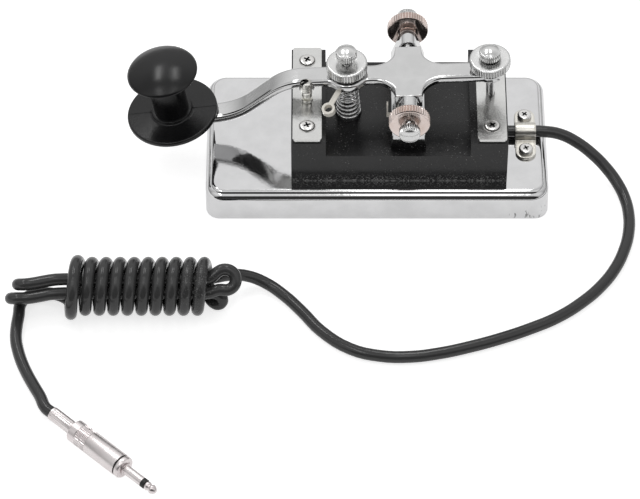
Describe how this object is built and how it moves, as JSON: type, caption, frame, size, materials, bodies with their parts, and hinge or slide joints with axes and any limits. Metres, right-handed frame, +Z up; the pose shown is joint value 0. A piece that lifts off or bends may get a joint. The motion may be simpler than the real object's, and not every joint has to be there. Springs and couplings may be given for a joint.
{
  "type": "telegraph key",
  "caption": "Straight telegraph key: chromed lever in a trunnion on a black block, knurled adjusting screws, coil spring, knob with finger disc, lead wound in a hank with a slim jack plug",
  "frame": {"origin": "centre of the base's underside, on the table", "axes": "+X runs along the lever towards the lead's end of the base (the knob is at -X), +Y towards the back, +Z up"},
  "size_m": [0.2286, 0.1925, 0.0582],
  "materials": {
    "base_chrome": "polished chrome plating over a casting, with small flecks",
    "bright_chrome": "polished chrome plating",
    "screw_steel": "bright plated steel screws",
    "nut_nickel": "bright nickel plate on knurled brass",
    "nut_warm": "pale nickel over brass, a warm tint",
    "contact_silver": "satin silvered contact metal",
    "tinned_tag": "pale tinned solder tag",
    "spring_steel": "bright spring wire",
    "moulded_black": "polished black phenolic moulding",
    "knob_black": "polished black knob, a few fine scratches",
    "ring_black": "black insulating ring",
    "cord_black": "glossy black flexible PVC jacket",
    "wire_red": "red insulated wire",
    "wire_black": "black insulated wire",
    "plug_nickel": "bright nickel plated plug"
  },
  "bodies": {
    "root": {"base_plate": "base_chrome", "insulator_block": "moulded_black", "block_screws": "screw_steel", "front_contact_strap": "bright_chrome", "rear_stop_strap": "bright_chrome", "strap_screws": "screw_steel", "contact_anvil": "contact_silver", "pivot_bracket": "bright_chrome", "bracket_screws": "screw_steel", "pivot_solder_tag": "tinned_tag", "signal_wire": "wire_red", "pivot_wire": "wire_black", "cable_clamp": "bright_chrome", "clamp_screws": "screw_steel", "tension_spring": "spring_steel", "cord_run": "cord_black", "cord_hank": "cord_black", "cord_tail": "cord_black", "plug_shell": "plug_nickel", "plug_sleeve": "plug_nickel", "plug_ring": "ring_black", "plug_tip": "plug_nickel"},
    "lever": {"lever": "bright_chrome", "contact_pin": "contact_silver", "lever_solder_tag": "tinned_tag", "knob_skirt": "knob_black", "finger_knob": "knob_black", "knob_screw": "screw_steel", "spring_cup": "nut_nickel"},
    "tension_screw": {"tension_screw": "nut_nickel"},
    "tension_nut": {"tension_nut": "nut_nickel"},
    "gap_screw": {"gap_screw": "nut_nickel"},
    "gap_nut": {"gap_nut": "nut_nickel"},
    "front_pivot_screw": {"front_pivot_screw": "nut_nickel"},
    "front_pivot_nut": {"front_pivot_nut": "nut_warm"},
    "rear_pivot_screw": {"rear_pivot_screw": "nut_nickel"},
    "rear_pivot_nut": {"rear_pivot_nut": "nut_warm"}
  },
  "joints": [
    {"name": "lever_press", "type": "hinge", "parent": "root", "child": "lever", "pos_m": [0.0113, 0, 0.0445], "axis": [0, -1, 0], "range_deg": [0, 1.15], "stiffness_Nm_per_rad": 0.6, "springref_deg": -11.46, "deforming": ["tension_spring"]},
    {"name": "tension_screw_turn", "type": "hinge", "parent": "lever", "child": "tension_screw", "pos_m": [-0.01098, 0, 0.04353], "axis": [-0.0436, 0, 0.999], "range_deg": [-180, 180]},
    {"name": "tension_nut_turn", "type": "hinge", "parent": "lever", "child": "tension_nut", "pos_m": [-0.01098, 0, 0.04353], "axis": [-0.0436, 0, 0.999], "range_deg": [-180, 180]},
    {"name": "gap_screw_turn", "type": "hinge", "parent": "lever", "child": "gap_screw", "pos_m": [0.04107, 0, 0.0458], "axis": [-0.0436, 0, 0.999], "range_deg": [-180, 180]},
    {"name": "gap_nut_turn", "type": "hinge", "parent": "lever", "child": "gap_nut", "pos_m": [0.04107, 0, 0.0458], "axis": [-0.0436, 0, 0.999], "range_deg": [-180, 180]},
    {"name": "front_pivot_screw_turn", "type": "hinge", "parent": "root", "child": "front_pivot_screw", "pos_m": [0.0113, -0.025, 0.0445], "axis": [0, -1, 0], "range_deg": [-180, 180]},
    {"name": "front_pivot_nut_turn", "type": "hinge", "parent": "root", "child": "front_pivot_nut", "pos_m": [0.0113, -0.0235, 0.0445], "axis": [0, -1, 0], "range_deg": [-180, 180]},
    {"name": "rear_pivot_screw_turn", "type": "hinge", "parent": "root", "child": "rear_pivot_screw", "pos_m": [0.0113, 0.025, 0.0445], "axis": [0, 1, 0], "range_deg": [-180, 180]},
    {"name": "rear_pivot_nut_turn", "type": "hinge", "parent": "root", "child": "rear_pivot_nut", "pos_m": [0.0113, 0.0235, 0.0445], "axis": [0, 1, 0], "range_deg": [-180, 180]}
  ]
}
